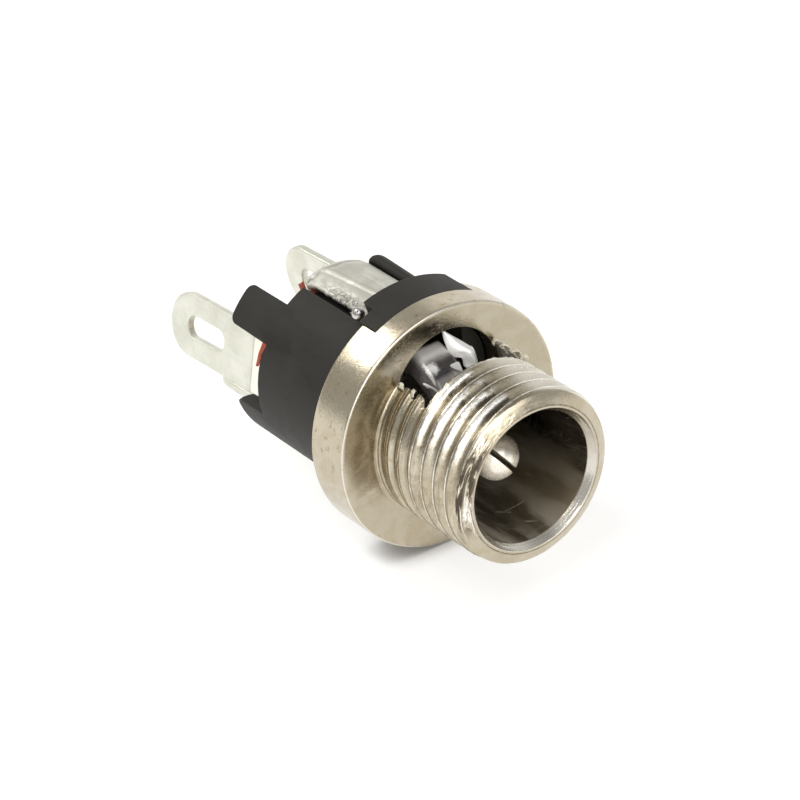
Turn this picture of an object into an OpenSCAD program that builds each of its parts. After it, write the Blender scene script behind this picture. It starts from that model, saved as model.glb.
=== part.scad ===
// Panel-mount DC power jack: a threaded metal bushing with a moulded
// terminal block behind it. The plug enters along +Y, Z is up on the key
// side, and the origin is the centre of the flange's seating face.

/* [Thread and bushing] */
// Major diameter of the mounting thread
thread_d = 8; // [7.8:0.1:8.4]
// Length of thread in front of the seating face
thread_len = 5.55; // [5:0.05:7]
// Length of the end chamfer in front of the thread
lip_len = 0.22; // [0.15:0.01:0.4]
// Outer diameter of the flat lip at the mouth
lip_d = 6.75; // [6.5:0.05:7]
// Diameter of the bore that takes the plug
bore_d = 6; // [5.8:0.05:6.2]
// Diameter of the flange
flange_d = 11.4; // [11:0.1:13]
// Thickness of the flange
flange_t = 2.2; // [1.9:0.1:2.6]
// Radius of the window pocket above the bore
window_r = 2.75; // [2.5:0.05:2.85]
// Height of the window pocket's centre above the axis
window_z = 1.9; // [1.8:0.05:2]
// How far the window runs in front of the flange
window_len = 2.15; // [1.9:0.05:2.6]
// Half angle of the key notch in the flange's rear
key_half = 27; // [20:1:32]
// Depth of the key notch, from the flange's rear face
key_depth = 0.95; // [0.6:0.05:1.2]

/* [Housing] */
// Diameter of the moulded terminal block
housing_d = 9.1; // [9:0.1:9.6]
// Length of the terminal block behind the flange
housing_len = 5.6; // [5.2:0.1:6.5]
// How far the plug cavity runs on into the block
cavity_len = 1.3; // [0.8:0.1:2]
// Width of the grooves that hold the two contact strips
groove_w = 3.4; // [3.2:0.1:3.6]
// Length of the rear guard posts
post_len = 2.35; // [1.5:0.05:3]
// Thickness of the rear guard posts
post_t = 0.95; // [0.7:0.05:1.2]

/* [Contacts] */
// Diameter of the centre pin
pin_d = 2.1; // [2:0.05:2.5]
// How far the pin's tip stands in front of the seating face
pin_reach = 3.7; // [3:0.1:4.5]
// Diameter of the pin's shank in the block
shank_d = 2.5; // [2.4:0.1:3]
// Width of the split in the pin's tip
split_w = 0.3; // [0.2:0.05:0.4]
// Thickness of the terminal sheet
sheet_t = 0.4; // [0.3:0.05:0.5]
// Thickness of the contact spring strip
spring_t = 0.25; // [0.2:0.01:0.3]
// Width of the contact spring strip
spring_w = 2.8; // [2.6:0.1:3]
// Width of each solder lug
lug_w = 3; // [2.6:0.1:3]
// Width of the wire slot in a lug
slot_w = 1.05; // [0.8:0.05:1.3]
// Length of the wire slot in a lug, end to end
slot_len = 2.85; // [2:0.05:3]
// Distance of the lug tips behind the seating face
lug_reach = 15.4; // [14.5:0.1:16]
// Turn of the pin and barrel terminals about the axis, away from the key
lug_turn = 12; // [0:1:14]
// Thickness of the insulating washer
washer_t = 0.4; // [0.3:0.05:0.5]

/* [Hidden] */
$fn = 96;
eps = 0.01;
thread_r = thread_d / 2;
bore_r = bore_d / 2;
flange_r = flange_d / 2;
housing_r = housing_d / 2;
spigot_r = bore_r + 0.7;          // turned recess behind the bore
spigot_len = 0.9;
rear_y = flange_t + housing_len;  // rear face of the terminal block
sheet_y = rear_y + washer_t;      // seat of the terminal plates
key_y = flange_t - key_depth;
left_z = 0;                       // height of the pin lug's centre line
left_x = -3.9;                    // outer face of the pin terminal's lug
right_z = 0.9;                    // height of the spring lug's centre line
right_x = 2.65;                   // root of the spring's lug
low_z = -3.9;                     // outer face of the lower strip
arch_top = 4.66;                  // crest of the arched strip
arch_r = 2.75;
strip_half = 1.5;                 // half width of the arched strip
// floor of the upper groove, under the strip's edges
floor_z = arch_top - arch_r + sqrt(pow(arch_r - sheet_t, 2) - pow(strip_half, 2));

// Cylinder along +Y from y0, n long
module rod(r, y0, n) {
    translate([0, y0, 0]) rotate([-90, 0, 0]) cylinder(r = r, h = n);
}

// A flat shape drawn in x and z, raised along +Y from y0, n long
module plate_y(y0, n) {
    translate([0, y0 + n, 0]) rotate([90, 0, 0]) linear_extrude(n) children();
}

// A profile drawn as radius and y, revolved about the Y axis
module turned() {
    rotate([-90, 0, 0]) rotate_extrude() children();
}

// Pie slice in x and z, centred on angle mid from +Z toward +X
module slice(mid, half, r) {
    polygon(concat([[0, 0]],
        [for (i = [0 : 4]) let (a = mid - half + i * half / 2)
            [r * sin(a), r * cos(a)]]));
}

// A sheet of even thickness t whose centre line runs through pts
function unit(v) = v / norm(v);
function side(a, b) = let (d = unit(b - a)) [-d[1], d[0]];
function mitre(p, i) =
    i == 0 ? side(p[0], p[1]) :
    i == len(p) - 1 ? side(p[i - 1], p[i]) :
    let (m = side(p[i - 1], p[i]) + side(p[i], p[i + 1]))
    2 * m / (m * m);
module sheet(pts, t) {
    polygon(concat(
        [for (i = [0 : len(pts) - 1]) pts[i] + mitre(pts, i) * t / 2],
        [for (i = [len(pts) - 1 : -1 : 0]) pts[i] - mitre(pts, i) * t / 2]));
}

// Outline of a lug: straight sides, full round tip and a wire slot.
// It runs along +x from x0 to x1 and is centred on y = 0.
module lug_outline(x0, x1) {
    r = lug_w / 2;
    difference() {
        union() {
            translate([x0, -r]) square([x1 - r - x0, lug_w]);
            translate([x1 - r, 0]) circle(r);
        }
        translate([x1 - 1.3 - slot_len + slot_w / 2, 0]) circle(slot_w / 2, $fn = 32);
        translate([x1 - 1.3 - slot_w / 2, 0]) circle(slot_w / 2, $fn = 32);
        translate([x1 - 1.3 - slot_len + slot_w / 2, -slot_w / 2])
            square([slot_len - slot_w, slot_w]);
    }
}

// Side lug: stands in the y-z plane, outer or inner face at x = 0
module side_lug(y0, y1) {
    rotate([90, 0, 90]) linear_extrude(sheet_t) lug_outline(y0, y1);
}

// Nickel-plated brass bushing, turned in one piece with its flange,
// then milled for the contact window and the key
module threaded_bushing() {
    color("#c9c4b2") difference() {
        turned() polygon([
            [bore_r + 0.12, -thread_len - lip_len],
            [lip_d / 2, -thread_len - lip_len],
            [thread_r, -thread_len],
            [thread_r, 0],
            [flange_r - 0.12, 0],
            [flange_r, 0.12],
            [flange_r, flange_t - 0.08],
            [flange_r - 0.08, flange_t],
            [spigot_r, flange_t],
            [spigot_r, flange_t - spigot_len],
            [bore_r, flange_t - spigot_len],
            [bore_r, -thread_len - lip_len + 0.12]]);
        translate([0, 0, window_z]) rod(window_r, -window_len, window_len + flange_t + 1);
        plate_y(key_y, key_depth + 1) slice(0, key_half, flange_r * 1.4);
    }
}

// Moulded terminal block: spigot, plug cavity, key, two strip grooves
// and the rear guard posts
module housing() {
    color("#3e3c38") difference() {
        union() {
            rod(housing_r, flange_t, housing_len);
            rod(spigot_r - 0.03, flange_t - spigot_len + 0.05, spigot_len);
            // key that drops into the flange's notch
            plate_y(key_y + 0.03, 3.15 - key_y) intersection() {
                circle(flange_r);
                slice(0, key_half - 0.6, flange_r * 1.4);
            }
            // tongue that closes the rear of the window pocket
            translate([0, 0, window_z]) rod(window_r - 0.06, 0.9, 1.6);
            post(-47.5, 12.2, post_len);
            post(-119, 11, post_len - 0.45);
        }
        // room for the pin terminal's lug inside the upper post
        rotate([0, lug_turn, 0]) translate([left_x - 0.04, rear_y, -2])
            cube([3, post_len + 1, 2 + left_z + lug_w / 2 + 0.04]);
        // plug cavity
        rod(bore_r, -3, 3 + flange_t + cavity_len);
        // bore for the centre pin
        rod(shank_d / 2, flange_t, housing_len + 1);
        // upper groove, open to the rear
        translate([-groove_w / 2, 3.3, floor_z]) cube([groove_w + 0.1, rear_y, 3]);
        // sloping way under the key for the spring
        translate([0, 0, 0]) rotate([90, 0, 90])
            translate([0, 0, -1.6]) linear_extrude(3.2)
                polygon([[4.6, 4.95], [3.02, 4.75], [2, 4.3],
                         [0.8, 4.1], [0.8, 2.6], [2.3, 3.0], [3.3, floor_z], [4.6, floor_z]]);
        // lower groove
        rotate([0, lug_turn, 0]) translate([-groove_w / 2, flange_t - 1, low_z - 2])
            cube([groove_w, rear_y + 5, 2 + sheet_t]);
    }
}

// One rear guard post: a curved wall flush with the block's side
module post(mid, half, n) {
    plate_y(rear_y - 1, n + 1) intersection() {
        difference() {
            circle(housing_r);
            circle(housing_r - post_t);
        }
        slice(mid, half, housing_r * 1.4);
    }
}

// Turned and split centre pin, riveted over at its rear end
module centre_pin() {
    r = pin_d / 2;
    color("#cfcabb") difference() {
        turned() polygon(concat(
            [for (i = [0 : 8]) let (a = i * 90 / 8)
                [r * sin(a), -pin_reach + 0.7 * (1 - cos(a))]],
            [[r, flange_t + cavity_len], [shank_d / 2, flange_t + cavity_len],
             [shank_d / 2, rear_y], [0.9, rear_y], [0.9, sheet_y + sheet_t],
             [1.35, sheet_y + sheet_t], [1.35, sheet_y + sheet_t + 0.25],
             [0.9, sheet_y + sheet_t + 0.45], [0, sheet_y + sheet_t + 0.45]]));
        rotate([0, 41, 0]) translate([-r - 1, -pin_reach - 1, -split_w / 2])
            cube([pin_d + 2, 1 + 2.8, split_w]);
    }
}

// Pin terminal: a base plate riveted on the pin's tail, bent back on the
// left into a solder lug
module pin_terminal() {
    color("#e2e1cf") rotate([0, lug_turn, 0]) difference() {
        union() {
            plate_y(sheet_y, sheet_t) union() {
                circle(1.7);
                translate([left_x, left_z - lug_w / 2]) square([-left_x - 1.4, lug_w]);
                polygon([[-2, left_z - lug_w / 2], [0, -1.7], [1.2, 1.2], [0, 1.7],
                         [-1.6, left_z + lug_w / 2]]);
            }
            translate([left_x, 0, left_z]) side_lug(sheet_y, lug_reach);
        }
        rod(0.9, sheet_y - 1, 3);
    }
}

// Contact spring: formed tip in the window, arched strip in the upper
// groove, rear fold and solder lug, all from one strip
module contact_spring() {
    color("#c4c4ba") union() {
        // sprung front half
        translate([-spring_w / 2, 0, 0]) rotate([90, 0, 90]) linear_extrude(spring_w)
            sheet([[4.8, 4.34], [3.7, 4.3], [3.0, 4.14], [2.0, 3.8], [1.2, 3.62],
                   [-0.6, 3.5], [-1.4, 2.66], [-1.95, 3.05]], spring_t);
        // arched strip
        plate_y(4.1, sheet_y - 4.1) strip_arch();
        translate([0.15, 0, 0]) plate_y(sheet_y - eps, sheet_t + eps) strip_arch(1.2);
        // rear fold
        plate_y(sheet_y, sheet_t) intersection() {
            union() {
                translate([-1.05, 2.9]) square([right_x + 1.05, 1.55]);
                translate([right_x - sheet_t, right_z - lug_w / 2]) square([sheet_t, 4]);
            }
            circle(4.7);
        }
        // solder lug, drooping a little toward its tip
        translate([right_x - sheet_t, sheet_y, right_z]) rotate([-2.5, 0, 0])
            side_lug(0.15, lug_reach - 0.1 - sheet_y);
    }
}

// Section of the arched strip, w to each side of its middle
module strip_arch(w = strip_half) {
    intersection() {
        translate([0, arch_top - arch_r]) difference() {
            circle(arch_r);
            circle(arch_r - sheet_t);
        }
        translate([-w, floor_z]) square([2 * w, 1]);
    }
}

// Barrel terminal: a flat strip in the lower groove whose front end bears
// on the flange and whose rear end is a solder lug
module barrel_terminal() {
    color("#dcdbc9") rotate([0, lug_turn, 0]) translate([0, 0, low_z])
        rotate([0, 0, 90]) linear_extrude(sheet_t) lug_outline(flange_t, lug_reach + 0.15);
}

// Vulcanised fibre washer between the block and the terminal plates
module fibre_washer() {
    color("#a05a46") plate_y(rear_y, washer_t) difference() {
        translate([0, 0.18]) circle(4.33);
        circle(1);
        // notch that clears the arched strip
        translate([-groove_w / 2, floor_z - 0.1]) square([groove_w + 0.1, 2]);
        // flat that clears the lower strip
        rotate(-lug_turn) translate([-3, low_z - 2]) square([6, 2 + sheet_t + 0.1]);
        // relief round the guard posts
        for (a = [-47.5, -119]) difference() {
            slice(a, 13.5, 7);
            circle(housing_r - post_t - 0.1);
        }
    }
}

threaded_bushing();
housing();
centre_pin();
pin_terminal();
contact_spring();
barrel_terminal();
fibre_washer();
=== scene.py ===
import bpy, bmesh, math, random
from mathutils import Vector, Matrix, Quaternion, noise
from mathutils.geometry import tessellate_polygon


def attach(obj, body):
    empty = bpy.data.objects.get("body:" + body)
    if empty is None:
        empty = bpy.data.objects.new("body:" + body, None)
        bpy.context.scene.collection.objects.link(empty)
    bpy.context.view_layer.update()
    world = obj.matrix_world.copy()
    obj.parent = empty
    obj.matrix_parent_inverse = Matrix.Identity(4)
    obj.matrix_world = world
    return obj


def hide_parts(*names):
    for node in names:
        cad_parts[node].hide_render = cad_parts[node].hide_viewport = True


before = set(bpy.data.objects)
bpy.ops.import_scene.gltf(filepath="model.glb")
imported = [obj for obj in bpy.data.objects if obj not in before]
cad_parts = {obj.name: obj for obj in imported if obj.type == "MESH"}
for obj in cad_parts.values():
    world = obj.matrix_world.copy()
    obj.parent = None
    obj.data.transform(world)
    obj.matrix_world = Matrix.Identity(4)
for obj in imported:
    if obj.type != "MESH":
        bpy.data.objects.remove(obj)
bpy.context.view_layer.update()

random.seed(11)
pi = math.pi
rad = math.radians
scene = bpy.context.scene

# ---------------------------------------------------------------- camera
AZ, EL, ROLL = rad(-34.41994530455874), rad(31.214381021193983), rad(-4.581555228067458)
DIST, TX, TY = 150.0, 2.135549541998607, -1.082669451044262
bk = Vector((math.sin(AZ) * math.cos(EL), -math.cos(AZ) * math.cos(EL), math.sin(EL)))
r0 = Vector((math.cos(AZ), math.sin(AZ), 0.0))
u0 = bk.cross(r0)
right = r0 * math.cos(ROLL) + u0 * math.sin(ROLL)
up = -r0 * math.sin(ROLL) + u0 * math.cos(ROLL)
cam_data = bpy.data.cameras.new("cam")
cam_data.sensor_fit = "HORIZONTAL"
cam_data.sensor_width = 36.0
cam_data.lens = 3526.672369188661 / 800 * 36
cam_data.clip_start, cam_data.clip_end = 0.005, 20.0
cam = bpy.data.objects.new("cam", cam_data)
scene.collection.objects.link(cam)
rot = Matrix((right, up, bk)).transposed().to_4x4()
cam.matrix_world = Matrix.Translation((bk * DIST - right * TX - up * TY) * 0.001) @ rot
scene.camera = cam
scene.view_settings.view_transform = "Standard"
scene.view_settings.look = "None"


# ---------------------------------------------------------------- nodes
class Mat:
    """A material under construction, with short calls for its nodes."""

    def __init__(self, name):
        self.m = bpy.data.materials.new(name)
        self.m.use_nodes = True
        self.t = self.m.node_tree
        self.t.nodes.clear()
        self.out = self.t.nodes.new("ShaderNodeOutputMaterial")
        self.b = self.t.nodes.new("ShaderNodeBsdfPrincipled")
        self.t.links.new(self.b.outputs[0], self.out.inputs["Surface"])
        tc = self.t.nodes.new("ShaderNodeTexCoord")
        mp = self.t.nodes.new("ShaderNodeMapping")
        mp.inputs["Scale"].default_value = (1000, 1000, 1000)
        self.t.links.new(tc.outputs["Object"], mp.inputs["Vector"])
        self.mm = mp.outputs[0]

    def put(self, sock, v):
        if isinstance(v, bpy.types.NodeSocket):
            self.t.links.new(v, sock)
        else:
            sock.default_value = v

    def set(self, name, v):
        self.put(self.b.inputs[name], v)

    def math(self, op, a, b=0.0, c=0.0, clamp=False):
        n = self.t.nodes.new("ShaderNodeMath")
        n.operation = op
        n.use_clamp = clamp
        for i, v in enumerate((a, b, c)):
            self.put(n.inputs[i], v)
        return n.outputs[0]

    def xyz(self, v):
        n = self.t.nodes.new("ShaderNodeSeparateXYZ")
        self.put(n.inputs[0], v)
        return n.outputs[0], n.outputs[1], n.outputs[2]

    def vec(self, x, y, z):
        n = self.t.nodes.new("ShaderNodeCombineXYZ")
        for i, v in enumerate((x, y, z)):
            self.put(n.inputs[i], v)
        return n.outputs[0]

    def scale(self, v, s):
        n = self.t.nodes.new("ShaderNodeVectorMath")
        n.operation = "MULTIPLY"
        self.put(n.inputs[0], v)
        n.inputs[1].default_value = s
        return n.outputs[0]

    def noise(self, v, scale, detail=3.0, rough=0.55, distort=0.0):
        n = self.t.nodes.new("ShaderNodeTexNoise")
        self.put(n.inputs["Vector"], v)
        n.inputs["Scale"].default_value = scale
        n.inputs["Detail"].default_value = detail
        n.inputs["Roughness"].default_value = rough
        n.inputs["Distortion"].default_value = distort
        return n.outputs[0]

    def voro(self, v, scale, feature="F1"):
        n = self.t.nodes.new("ShaderNodeTexVoronoi")
        n.feature = feature
        self.put(n.inputs["Vector"], v)
        n.inputs["Scale"].default_value = scale
        return n.outputs["Distance"]

    def ramp(self, v, a, b, lo=0.0, hi=1.0, smooth=True):
        n = self.t.nodes.new("ShaderNodeMapRange")
        n.interpolation_type = "SMOOTHSTEP" if smooth else "LINEAR"
        self.put(n.inputs["Value"], v)
        n.inputs["From Min"].default_value = a
        n.inputs["From Max"].default_value = b
        n.inputs["To Min"].default_value = lo
        n.inputs["To Max"].default_value = hi
        return n.outputs[0]

    def mix(self, f, a, b):
        n = self.t.nodes.new("ShaderNodeMix")
        n.data_type = "RGBA"
        self.put(n.inputs[0], f)
        self.put(n.inputs[6], a)
        self.put(n.inputs[7], b)
        return n.outputs[2]

    def edge(self, r, a=0.985, b=0.86, samples=6):
        """Mask of the edges within r: where the rounded normal leaves the
        true one."""
        g = self.t.nodes.new("ShaderNodeNewGeometry")
        n = self.t.nodes.new("ShaderNodeVectorMath")
        n.operation = "DOT_PRODUCT"
        self.t.links.new(self.bevel(r, samples), n.inputs[0])
        self.t.links.new(g.outputs["Normal"], n.inputs[1])
        return self.ramp(n.outputs["Value"], a, b)

    def bump(self, h, strength=0.3, dist=0.00002, normal=None):
        n = self.t.nodes.new("ShaderNodeBump")
        n.inputs["Strength"].default_value = strength
        n.inputs["Distance"].default_value = dist
        self.put(n.inputs["Height"], h)
        if normal is not None:
            self.put(n.inputs["Normal"], normal)
        return n.outputs[0]

    def bevel(self, r, samples=4):
        n = self.t.nodes.new("ShaderNodeBevel")
        n.samples = samples
        n.inputs["Radius"].default_value = r
        return n.outputs[0]


def rgb(r, g, b):
    """An sRGB colour in 0-255 as linear RGBA."""
    f = lambda c: (c / 255 / 12.92) if c <= 10 else ((c / 255 + 0.055) / 1.055) ** 2.4
    return (f(r), f(g), f(b), 1.0)


# ---------------------------------------------------------------- materials
def nickel(name, light, warm, dark, rough=(0.16, 0.34), rings=1.0, edge=0.5, bevel=0.00003, thread=False, metal=1.0, shade=0.0):
    """Nickel plate on turned brass: rings of turning marks, soft patches, a painted highlight on the
    edges and a scatter of small dents and scratches; on the thread, painted highlights and painted shade."""
    k = Mat(name)
    x, y, z = k.xyz(k.mm)
    r = k.math("SQRT", k.math("ADD", k.math("MULTIPLY", x, x), k.math("MULTIPLY", z, z)))
    wob = k.noise(k.mm, 0.9, 2.0)
    rr = k.math("ADD", r, k.math("MULTIPLY", wob, 0.05))
    yy = k.math("ADD", y, k.math("MULTIPLY", wob, 0.05))
    ring = k.noise(k.vec(k.math("MULTIPLY", rr, 14.0), k.math("MULTIPLY", yy, 14.0), 0.0), 1.0, 4.0, 0.6)
    patch = k.noise(k.mm, 0.75, 4.0, 0.6, 0.6)
    fine = k.noise(k.mm, 9.0, 4.0, 0.65)
    grit = k.noise(k.mm, 34.0, 2.0, 0.6)
    scr = k.noise(k.scale(k.mm, (2.0, 22.0, 9.0)), 1.6, 3.0, 0.55, 1.2)
    scratch = k.ramp(scr, 0.60, 0.66)
    c = k.mix(k.ramp(patch, 0.38, 0.64), light, warm)
    c = k.mix(k.math("MULTIPLY", k.ramp(fine, 0.58, 0.80), 0.22), c, dark)
    if not thread:
        # painted highlight along the edges
        c = k.mix(k.math("MULTIPLY", k.edge(0.00005), edge), c, (0.88, 0.86, 0.78, 1))
    if thread:
        # painted highlight on the crests, painted shade in the roots and beside the crests, and a painted highlight
        # line on the flange's edge
        on = k.math("MULTIPLY", k.ramp(y, -0.05, -0.12), k.ramp(y, -5.52, -5.46))
        a = k.math("ARCTAN2", x, z)
        strk = k.noise(k.vec(k.math("MULTIPLY", a, 2.4), k.math("MULTIPLY", y, 4.2), 0.0), 1.3, 4.0, 0.62, 0.5)
        c = k.mix(k.math("MULTIPLY", k.math("MULTIPLY", on, k.ramp(strk, 0.50, 0.66)), 0.55), c,
                  (0.26, 0.215, 0.15, 1))
        c = k.mix(k.math("MULTIPLY", k.math("MULTIPLY", on, k.ramp(strk, 0.46, 0.34)), 0.35), c,
                  (0.80, 0.76, 0.66, 1))
        ph = k.math("SUBTRACT", k.math("MULTIPLY", k.math("ADD", y, 5.55), 1 / 0.8),
                    k.math("MULTIPLY", k.math("ADD", a, pi / 3), 0.5 / pi))
        f = k.math("ABSOLUTE", k.math("SUBTRACT", k.math("MULTIPLY", k.math("FRACT", ph), 2.0), 1.0))
        blot = k.noise(k.vec(k.math("MULTIPLY", a, 5.0), k.math("MULTIPLY", y, 2.2), 4.0), 1.3, 4.0, 0.62, 0.4)
        c = k.mix(k.math("MULTIPLY", k.math("MULTIPLY", on, k.ramp(blot, 0.52, 0.62)), 0.45), c,
                  (0.33, 0.29, 0.21, 1))
        crest_highlight_breakup = k.ramp(k.noise(k.mm, 3.0, 3.0, 0.6), 0.40, 0.58, 0.1, 1.0)
        # painted shade beside each crest
        beside = k.math("MULTIPLY", k.ramp(f, 0.74, 0.80), k.ramp(f, 0.91, 0.86))
        c = k.mix(k.math("MULTIPLY", k.math("MULTIPLY", on, beside), 0.6), c, (0.15, 0.12, 0.085, 1))
        # painted highlight along each crest, broken up by noise
        crest = k.ramp(f, 0.90, 0.94)
        c = k.mix(k.math("MULTIPLY", k.math("MULTIPLY", on, crest), k.math("MULTIPLY", crest_highlight_breakup, 0.85)), c,
                  (0.93, 0.91, 0.83, 1))
        # painted shade in the roots
        root = k.math("MULTIPLY", k.math("MULTIPLY", on, k.ramp(f, 0.30, 0.10)), 0.55)
        c = k.mix(root, c, (0.24, 0.20, 0.14, 1))
        # torn flanks under the window: painted highlight near the crest and painted shade toward the root, broken up
        # like torn metal
        fr = k.math("FRACT", ph)
        flank_highlight_zone = k.math("MULTIPLY", k.ramp(a, -0.06, -0.22), k.ramp(a, -1.20, -0.80))
        flank_highlight_zone = k.math("MULTIPLY", flank_highlight_zone, k.math("MULTIPLY", on, k.ramp(y, -1.9, -2.3)))
        rip = k.noise(k.vec(k.math("MULTIPLY", a, 3.4), k.math("MULTIPLY", y, 1.6), 11.0), 1.5, 3.0, 0.6, 0.5)
        flank_highlight = k.math("MULTIPLY", k.ramp(fr, 0.66, 0.74), k.ramp(fr, 0.94, 0.88))
        c = k.mix(k.math("MULTIPLY", k.math("MULTIPLY", flank_highlight_zone, flank_highlight), k.ramp(rip, 0.36, 0.50)), c,
                  (0.97, 0.95, 0.90, 1))
        # painted shade on the flanks toward the root
        cut = k.math("MULTIPLY", k.ramp(a, -0.06, -0.13), k.ramp(a, -0.66, -0.44))
        cut = k.math("MULTIPLY", cut, k.math("MULTIPLY", on, k.ramp(y, -1.9, -2.3)))
        flank_shade = k.math("MULTIPLY", k.ramp(fr, 0.46, 0.54), k.ramp(fr, 0.78, 0.70))
        c = k.mix(k.math("MULTIPLY", k.math("MULTIPLY", cut, flank_shade), k.ramp(rip, 0.42, 0.52, 0.0, 0.85)), c,
                  (0.08, 0.068, 0.05, 1))
        # chamfer torn by the tool on the near side: dark and bright streaks, partly torn metal and partly painted shade
        # and painted highlight
        end = k.math("MULTIPLY", k.ramp(y, -5.50, -5.56), k.ramp(r, 3.30, 3.36))
        torn = k.noise(k.vec(k.math("MULTIPLY", a, 1.6), k.math("MULTIPLY", y, 7.5), 7.0), 1.4, 5.0, 0.68, 0.9)
        near = k.math("MULTIPLY", k.ramp(a, -0.45, -0.85), k.ramp(a, -2.1, -1.6))
        c = k.mix(k.math("MULTIPLY", k.math("MULTIPLY", end, near), k.math("MULTIPLY", k.ramp(torn, 0.47, 0.53), 0.95)),
                  c, (0.07, 0.055, 0.04, 1))
        c = k.mix(k.math("MULTIPLY", k.math("MULTIPLY", end, near), k.ramp(torn, 0.47, 0.38)), c,
                  (0.96, 0.94, 0.88, 1))
        # painted highlight on the inner chamfer ring, strongest at the bottom
        inner_ring_highlight = k.math("MULTIPLY", k.ramp(y, -5.45, -5.50), k.ramp(r, 3.27, 3.25))
        inner_ring_highlight = k.math("MULTIPLY", inner_ring_highlight, k.ramp(ring, 0.30, 0.55, 0.6, 1.0))
        c = k.mix(k.math("MULTIPLY", k.math("MULTIPLY", inner_ring_highlight, k.ramp(z, 1.6, -1.6)), k.ramp(r, 3.0, 3.03)), c,
                  (0.93, 0.90, 0.82, 1))
        # painted shade toning the ring down toward +X
        c = k.mix(k.math("MULTIPLY", k.math("MULTIPLY", inner_ring_highlight, k.ramp(x, 1.4, 2.6)), 0.4), c, (0.42, 0.41, 0.38, 1))
        lipl = k.math("MULTIPLY", k.ramp(r, 3.34, 3.36), k.ramp(r, 3.42, 3.39))
        lipl = k.math("MULTIPLY", k.math("MULTIPLY", lipl, k.ramp(y, -5.74, -5.78)), k.ramp(fine, 0.40, 0.55, 0.25, 0.8))
        c = k.mix(lipl, c, (0.20, 0.165, 0.115, 1))
        gouge = k.math("MULTIPLY", k.math("MULTIPLY", end, near), torn)
        # the side toward the light, and the flange's face
        c = k.mix(k.math("MULTIPLY", on, k.math("MULTIPLY", k.ramp(a, -0.02, 0.35), k.ramp(y, -0.3, -0.6, 0.0, 0.72))), c,
                  (1.0, 0.97, 0.88, 1))
        face = k.math("MULTIPLY", k.ramp(y, -0.05, -0.02), k.ramp(r, 5.60, 5.50))
        c = k.mix(k.math("MULTIPLY", face, k.ramp(a, -0.6, 0.2, 0.0, 0.40)), c, (0.36, 0.32, 0.235, 1))
        # brown painted reflection of the thread on the flange's face beside it
        side = k.math("MULTIPLY", k.ramp(a, -0.35, -0.95), k.ramp(a, -2.15, -1.65))
        side = k.math("MULTIPLY", side, k.math("MULTIPLY", k.ramp(y, -0.06, -0.03), k.ramp(r, 5.55, 4.9)))
        c = k.mix(k.math("MULTIPLY", side, k.ramp(patch, 0.36, 0.60, 0.20, 0.75)), c, (0.235, 0.185, 0.115, 1))
        spot = k.ramp(k.noise(k.mm, 2.6, 3.0, 0.6), 0.60, 0.66)
        c = k.mix(k.math("MULTIPLY", k.math("MULTIPLY", spot, k.ramp(r, 5.5, 5.6)), 0.6), c, (0.34, 0.27, 0.16, 1))
        # painted highlight: a thin bright line on the flange's front edge
        rim = k.math("MULTIPLY", k.ramp(r, 5.632, 5.645), k.ramp(y, 0.055, 0.035))
        c = k.mix(k.math("MULTIPLY", rim, 0.5), c, (0.97, 0.95, 0.90, 1))
    if shade:
        # painted shade on the upper right of the pin's dome, broken up by the patch noise
        up = k.math("ADD", k.math("MULTIPLY", z, 0.85), k.math("MULTIPLY", x, 0.5))
        up = k.math("ADD", up, k.math("MULTIPLY", k.math("SUBTRACT", patch, 0.5), 0.5))
        c = k.mix(k.math("MULTIPLY", k.ramp(up, 0.12, 0.50), shade), c, (0.16, 0.13, 0.10, 1))
    k.set("Base Color", c)
    if thread:
        k.set("Metallic", k.math("SUBTRACT", 1.0, k.math("MULTIPLY", k.math("MULTIPLY", on, k.ramp(a, -0.20, 0.25)), 0.52)))
    else:
        k.set("Metallic", metal)
    ro = k.math("ADD", k.ramp(patch, 0.3, 0.7, rough[0], rough[1]),
                k.math("MULTIPLY", k.ramp(fine, 0.45, 0.8), 0.12))
    k.set("Roughness", k.math("ADD", ro, k.math("MULTIPLY", scratch, 0.05)))
    n = k.bevel(bevel) if bevel else None
    turned = k.math("ADD", k.math("MULTIPLY", k.ramp(y, -0.02, -0.08), 0.9), 0.1) if thread else 1.0
    n = k.bump(k.math("MULTIPLY", ring, turned), 0.16 * rings, 0.000010, n)
    n = k.bump(fine, 0.25, 0.00002, n)
    n = k.bump(k.math("MULTIPLY", scratch, -1.0), 0.16, 0.00001, n)
    n = k.bump(grit, 0.14, 0.000008, n)
    if thread:
        n = k.bump(gouge, 0.8, 0.00006, n)
        n = k.bump(k.math("MULTIPLY", blot, on), 0.35, 0.00003, n)
    k.set("Normal", n)
    return k.m


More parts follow.
